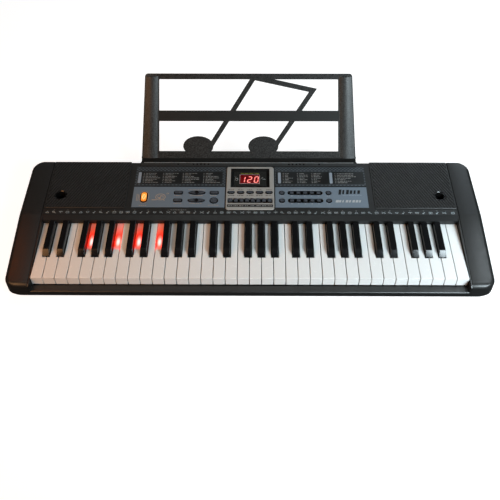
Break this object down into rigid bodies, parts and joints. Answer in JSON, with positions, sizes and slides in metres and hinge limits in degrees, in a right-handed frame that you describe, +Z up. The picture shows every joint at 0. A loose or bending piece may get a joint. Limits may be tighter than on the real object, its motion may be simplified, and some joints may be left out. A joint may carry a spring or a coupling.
{
  "type": "toy electronic keyboard",
  "caption": "Table-top toy electronic keyboard with sprung white and black keys, a panel of push buttons, speakers under side grilles and a lift-out music stand.",
  "frame": {"origin": "centre of the footprint, music stand included, on the table under the feet", "axes": "+X along the keyboard towards the high notes, -Y towards the player, +Z up"},
  "size_m": [0.825, 0.3578, 0.212],
  "materials": {
    "case_black": "satin moulded ABS with a fine spark-eroded grain",
    "grille_black": "matt, fine diagonal ribs",
    "speaker_cone": "matt paper cone and pressed frame",
    "bezel_silver": "warm silver paint, satin",
    "display_lens": "clear smoked lens over a red LED module",
    "circuit_board": "green solder resist",
    "button_slate": "satin",
    "power_amber": "translucent, lit from inside",
    "key_white": "polished",
    "key_black": "polished",
    "stand_grey": "fine spark-eroded grain"
  },
  "bodies": {
    "root": {"upper_case": "case_black", "lower_case": "case_black", "left_end_cheek": "case_black", "right_end_cheek": "case_black", "left_speaker_grille": "grille_black", "right_speaker_grille": "grille_black", "left_speaker": "speaker_cone", "right_speaker": "speaker_cone", "display_bezel": "bezel_silver", "digit_display": "display_lens", "main_circuit_board": "circuit_board", "key_contact_board": "circuit_board", "battery_door": "case_black", "power_inlet": "case_black"},
    "white_key_01": {"white_key_01": "key_white"},
    "white_key_02": {"white_key_02": "key_white"},
    "white_key_03": {"white_key_03": "key_white"},
    "white_key_04": {"white_key_04": "key_white"},
    "white_key_05": {"white_key_05": "key_white"},
    "white_key_06": {"white_key_06": "key_white"},
    "white_key_07": {"white_key_07": "key_white"},
    "white_key_08": {"white_key_08": "key_white"},
    "white_key_09": {"white_key_09": "key_white"},
    "white_key_10": {"white_key_10": "key_white"},
    "white_key_11": {"white_key_11": "key_white"},
    "white_key_12": {"white_key_12": "key_white"},
    "white_key_13": {"white_key_13": "key_white"},
    "white_key_14": {"white_key_14": "key_white"},
    "white_key_15": {"white_key_15": "key_white"},
    "white_key_16": {"white_key_16": "key_white"},
    "white_key_17": {"white_key_17": "key_white"},
    "white_key_18": {"white_key_18": "key_white"},
    "white_key_19": {"white_key_19": "key_white"},
    "white_key_20": {"white_key_20": "key_white"},
    "white_key_21": {"white_key_21": "key_white"},
    "white_key_22": {"white_key_22": "key_white"},
    "white_key_23": {"white_key_23": "key_white"},
    "white_key_24": {"white_key_24": "key_white"},
    "white_key_25": {"white_key_25": "key_white"},
    "white_key_26": {"white_key_26": "key_white"},
    "white_key_27": {"white_key_27": "key_white"},
    "white_key_28": {"white_key_28": "key_white"},
    "white_key_29": {"white_key_29": "key_white"},
    "white_key_30": {"white_key_30": "key_white"},
    "white_key_31": {"white_key_31": "key_white"},
    "white_key_32": {"white_key_32": "key_white"},
    "white_key_33": {"white_key_33": "key_white"},
    "white_key_34": {"white_key_34": "key_white"},
    "white_key_35": {"white_key_35": "key_white"},
    "white_key_36": {"white_key_36": "key_white"},
    "black_keys_1": {"black_keys_1": "key_black"},
    "black_keys_2": {"black_keys_2": "key_black"},
    "black_keys_3": {"black_keys_3": "key_black"},
    "black_keys_4": {"black_keys_4": "key_black"},
    "black_keys_5": {"black_keys_5": "key_black"},
    "power_button": {"power_button": "power_amber"},
    "left_panel_buttons": {"left_panel_buttons": "button_slate"},
    "centre_buttons": {"centre_buttons": "button_slate"},
    "right_panel_buttons": {"right_panel_buttons": "button_slate"},
    "music_stand": {"music_stand": "stand_grey"}
  },
  "joints": [
    {"name": "white_key_01_press", "type": "hinge", "parent": "root", "child": "white_key_01", "pos_m": [-0.35875, 0.00107, 0.033], "axis": [1, 0, 0], "range_deg": [0, 2.8], "stiffness_Nm_per_rad": 0.65, "springref_deg": -2.86},
    {"name": "white_key_02_press", "type": "hinge", "parent": "root", "child": "white_key_02", "pos_m": [-0.33825, 0.00107, 0.033], "axis": [1, 0, 0], "range_deg": [0, 2.8], "stiffness_Nm_per_rad": 0.65, "springref_deg": -2.86},
    {"name": "white_key_03_press", "type": "hinge", "parent": "root", "child": "white_key_03", "pos_m": [-0.31775, 0.00107, 0.033], "axis": [1, 0, 0], "range_deg": [0, 2.8], "stiffness_Nm_per_rad": 0.65, "springref_deg": -2.86},
    {"name": "white_key_04_press", "type": "hinge", "parent": "root", "child": "white_key_04", "pos_m": [-0.29725, 0.00107, 0.033], "axis": [1, 0, 0], "range_deg": [0, 2.8], "stiffness_Nm_per_rad": 0.65, "springref_deg": -2.86},
    {"name": "white_key_05_press", "type": "hinge", "parent": "root", "child": "white_key_05", "pos_m": [-0.27675, 0.00107, 0.033], "axis": [1, 0, 0], "range_deg": [0, 2.8], "stiffness_Nm_per_rad": 0.65, "springref_deg": -2.86},
    {"name": "white_key_06_press", "type": "hinge", "parent": "root", "child": "white_key_06", "pos_m": [-0.25625, 0.00107, 0.033], "axis": [1, 0, 0], "range_deg": [0, 2.8], "stiffness_Nm_per_rad": 0.65, "springref_deg": -2.86},
    {"name": "white_key_07_press", "type": "hinge", "parent": "root", "child": "white_key_07", "pos_m": [-0.23575, 0.00107, 0.033], "axis": [1, 0, 0], "range_deg": [0, 2.8], "stiffness_Nm_per_rad": 0.65, "springref_deg": -2.86},
    {"name": "white_key_08_press", "type": "hinge", "parent": "root", "child": "white_key_08", "pos_m": [-0.21525, 0.00107, 0.033], "axis": [1, 0, 0], "range_deg": [0, 2.8], "stiffness_Nm_per_rad": 0.65, "springref_deg": -2.86},
    {"name": "white_key_09_press", "type": "hinge", "parent": "root", "child": "white_key_09", "pos_m": [-0.19475, 0.00107, 0.033], "axis": [1, 0, 0], "range_deg": [0, 2.8], "stiffness_Nm_per_rad": 0.65, "springref_deg": -2.86},
    {"name": "white_key_10_press", "type": "hinge", "parent": "root", "child": "white_key_10", "pos_m": [-0.17425, 0.00107, 0.033], "axis": [1, 0, 0], "range_deg": [0, 2.8], "stiffness_Nm_per_rad": 0.65, "springref_deg": -2.86},
    {"name": "white_key_11_press", "type": "hinge", "parent": "root", "child": "white_key_11", "pos_m": [-0.15375, 0.00107, 0.033], "axis": [1, 0, 0], "range_deg": [0, 2.8], "stiffness_Nm_per_rad": 0.65, "springref_deg": -2.86},
    {"name": "white_key_12_press", "type": "hinge", "parent": "root", "child": "white_key_12", "pos_m": [-0.13325, 0.00107, 0.033], "axis": [1, 0, 0], "range_deg": [0, 2.8], "stiffness_Nm_per_rad": 0.65, "springref_deg": -2.86},
    {"name": "white_key_13_press", "type": "hinge", "parent": "root", "child": "white_key_13", "pos_m": [-0.11275, 0.00107, 0.033], "axis": [1, 0, 0], "range_deg": [0, 2.8], "stiffness_Nm_per_rad": 0.65, "springref_deg": -2.86},
    {"name": "white_key_14_press", "type": "hinge", "parent": "root", "child": "white_key_14", "pos_m": [-0.09225, 0.00107, 0.033], "axis": [1, 0, 0], "range_deg": [0, 2.8], "stiffness_Nm_per_rad": 0.65, "springref_deg": -2.86},
    {"name": "white_key_15_press", "type": "hinge", "parent": "root", "child": "white_key_15", "pos_m": [-0.07175, 0.00107, 0.033], "axis": [1, 0, 0], "range_deg": [0, 2.8], "stiffness_Nm_per_rad": 0.65, "springref_deg": -2.86},
    {"name": "white_key_16_press", "type": "hinge", "parent": "root", "child": "white_key_16", "pos_m": [-0.05125, 0.00107, 0.033], "axis": [1, 0, 0], "range_deg": [0, 2.8], "stiffness_Nm_per_rad": 0.65, "springref_deg": -2.86},
    {"name": "white_key_17_press", "type": "hinge", "parent": "root", "child": "white_key_17", "pos_m": [-0.03075, 0.00107, 0.033], "axis": [1, 0, 0], "range_deg": [0, 2.8], "stiffness_Nm_per_rad": 0.65, "springref_deg": -2.86},
    {"name": "white_key_18_press", "type": "hinge", "parent": "root", "child": "white_key_18", "pos_m": [-0.01025, 0.00107, 0.033], "axis": [1, 0, 0], "range_deg": [0, 2.8], "stiffness_Nm_per_rad": 0.65, "springref_deg": -2.86},
    {"name": "white_key_19_press", "type": "hinge", "parent": "root", "child": "white_key_19", "pos_m": [0.01025, 0.00107, 0.033], "axis": [1, 0, 0], "range_deg": [0, 2.8], "stiffness_Nm_per_rad": 0.65, "springref_deg": -2.86},
    {"name": "white_key_20_press", "type": "hinge", "parent": "root", "child": "white_key_20", "pos_m": [0.03075, 0.00107, 0.033], "axis": [1, 0, 0], "range_deg": [0, 2.8], "stiffness_Nm_per_rad": 0.65, "springref_deg": -2.86},
    {"name": "white_key_21_press", "type": "hinge", "parent": "root", "child": "white_key_21", "pos_m": [0.05125, 0.00107, 0.033], "axis": [1, 0, 0], "range_deg": [0, 2.8], "stiffness_Nm_per_rad": 0.65, "springref_deg": -2.86},
    {"name": "white_key_22_press", "type": "hinge", "parent": "root", "child": "white_key_22", "pos_m": [0.07175, 0.00107, 0.033], "axis": [1, 0, 0], "range_deg": [0, 2.8], "stiffness_Nm_per_rad": 0.65, "springref_deg": -2.86},
    {"name": "white_key_23_press", "type": "hinge", "parent": "root", "child": "white_key_23", "pos_m": [0.09225, 0.00107, 0.033], "axis": [1, 0, 0], "range_deg": [0, 2.8], "stiffness_Nm_per_rad": 0.65, "springref_deg": -2.86},
    {"name": "white_key_24_press", "type": "hinge", "parent": "root", "child": "white_key_24", "pos_m": [0.11275, 0.00107, 0.033], "axis": [1, 0, 0], "range_deg": [0, 2.8], "stiffness_Nm_per_rad": 0.65, "springref_deg": -2.86},
    {"name": "white_key_25_press", "type": "hinge", "parent": "root", "child": "white_key_25", "pos_m": [0.13325, 0.00107, 0.033], "axis": [1, 0, 0], "range_deg": [0, 2.8], "stiffness_Nm_per_rad": 0.65, "springref_deg": -2.86},
    {"name": "white_key_26_press", "type": "hinge", "parent": "root", "child": "white_key_26", "pos_m": [0.15375, 0.00107, 0.033], "axis": [1, 0, 0], "range_deg": [0, 2.8], "stiffness_Nm_per_rad": 0.65, "springref_deg": -2.86},
    {"name": "white_key_27_press", "type": "hinge", "parent": "root", "child": "white_key_27", "pos_m": [0.17425, 0.00107, 0.033], "axis": [1, 0, 0], "range_deg": [0, 2.8], "stiffness_Nm_per_rad": 0.65, "springref_deg": -2.86},
    {"name": "white_key_28_press", "type": "hinge", "parent": "root", "child": "white_key_28", "pos_m": [0.19475, 0.00107, 0.033], "axis": [1, 0, 0], "range_deg": [0, 2.8], "stiffness_Nm_per_rad": 0.65, "springref_deg": -2.86},
    {"name": "white_key_29_press", "type": "hinge", "parent": "root", "child": "white_key_29", "pos_m": [0.21525, 0.00107, 0.033], "axis": [1, 0, 0], "range_deg": [0, 2.8], "stiffness_Nm_per_rad": 0.65, "springref_deg": -2.86},
    {"name": "white_key_30_press", "type": "hinge", "parent": "root", "child": "white_key_30", "pos_m": [0.23575, 0.00107, 0.033], "axis": [1, 0, 0], "range_deg": [0, 2.8], "stiffness_Nm_per_rad": 0.65, "springref_deg": -2.86},
    {"name": "white_key_31_press", "type": "hinge", "parent": "root", "child": "white_key_31", "pos_m": [0.25625, 0.00107, 0.033], "axis": [1, 0, 0], "range_deg": [0, 2.8], "stiffness_Nm_per_rad": 0.65, "springref_deg": -2.86},
    {"name": "white_key_32_press", "type": "hinge", "parent": "root", "child": "white_key_32", "pos_m": [0.27675, 0.00107, 0.033], "axis": [1, 0, 0], "range_deg": [0, 2.8], "stiffness_Nm_per_rad": 0.65, "springref_deg": -2.86},
    {"name": "white_key_33_press", "type": "hinge", "parent": "root", "child": "white_key_33", "pos_m": [0.29725, 0.00107, 0.033], "axis": [1, 0, 0], "range_deg": [0, 2.8], "stiffness_Nm_per_rad": 0.65, "springref_deg": -2.86},
    {"name": "white_key_34_press", "type": "hinge", "parent": "root", "child": "white_key_34", "pos_m": [0.31775, 0.00107, 0.033], "axis": [1, 0, 0], "range_deg": [0, 2.8], "stiffness_Nm_per_rad": 0.65, "springref_deg": -2.86},
    {"name": "white_key_35_press", "type": "hinge", "parent": "root", "child": "white_key_35", "pos_m": [0.33825, 0.00107, 0.033], "axis": [1, 0, 0], "range_deg": [0, 2.8], "stiffness_Nm_per_rad": 0.65, "springref_deg": -2.86},
    {"name": "white_key_36_press", "type": "hinge", "parent": "root", "child": "white_key_36", "pos_m": [0.35875, 0.00107, 0.033], "axis": [1, 0, 0], "range_deg": [0, 2.8], "stiffness_Nm_per_rad": 0.65, "springref_deg": -2.86},
    {"name": "black_keys_1_press", "type": "hinge", "parent": "root", "child": "black_keys_1", "pos_m": [-0.29725, 0.00107, 0.049], "axis": [1, 0, 0], "range_deg": [0, 3], "stiffness_Nm_per_rad": 3.2, "springref_deg": -3.44},
    {"name": "black_keys_2_press", "type": "hinge", "parent": "root", "child": "black_keys_2", "pos_m": [-0.15375, 0.00107, 0.049], "axis": [1, 0, 0], "range_deg": [0, 3], "stiffness_Nm_per_rad": 3.2, "springref_deg": -3.44},
    {"name": "black_keys_3_press", "type": "hinge", "parent": "root", "child": "black_keys_3", "pos_m": [-0.01025, 0.00107, 0.049], "axis": [1, 0, 0], "range_deg": [0, 3], "stiffness_Nm_per_rad": 3.2, "springref_deg": -3.44},
    {"name": "black_keys_4_press", "type": "hinge", "parent": "root", "child": "black_keys_4", "pos_m": [0.13325, 0.00107, 0.049], "axis": [1, 0, 0], "range_deg": [0, 3], "stiffness_Nm_per_rad": 3.2, "springref_deg": -3.44},
    {"name": "black_keys_5_press", "type": "hinge", "parent": "root", "child": "black_keys_5", "pos_m": [0.27675, 0.00107, 0.049], "axis": [1, 0, 0], "range_deg": [0, 3], "stiffness_Nm_per_rad": 3.2, "springref_deg": -3.44},
    {"name": "power_button_press", "type": "slide", "parent": "root", "child": "power_button", "axis": [0, 0, -1], "range_m": [0, 0.001], "stiffness_N_per_m": 300, "springref_m": -0.001},
    {"name": "left_panel_buttons_press", "type": "slide", "parent": "root", "child": "left_panel_buttons", "axis": [0, 0, -1], "range_m": [0, 0.001], "stiffness_N_per_m": 800, "springref_m": -0.001},
    {"name": "centre_buttons_press", "type": "slide", "parent": "root", "child": "centre_buttons", "axis": [0, 0, -1], "range_m": [0, 0.001], "stiffness_N_per_m": 800, "springref_m": -0.001},
    {"name": "right_panel_buttons_press", "type": "slide", "parent": "root", "child": "right_panel_buttons", "axis": [0, 0, -1], "range_m": [0, 0.001], "stiffness_N_per_m": 800, "springref_m": -0.001},
    {"name": "music_stand_lift", "type": "slide", "parent": "root", "child": "music_stand", "axis": [0, 0.4226, 0.9063], "range_m": [0, 0.025]}
  ]
}
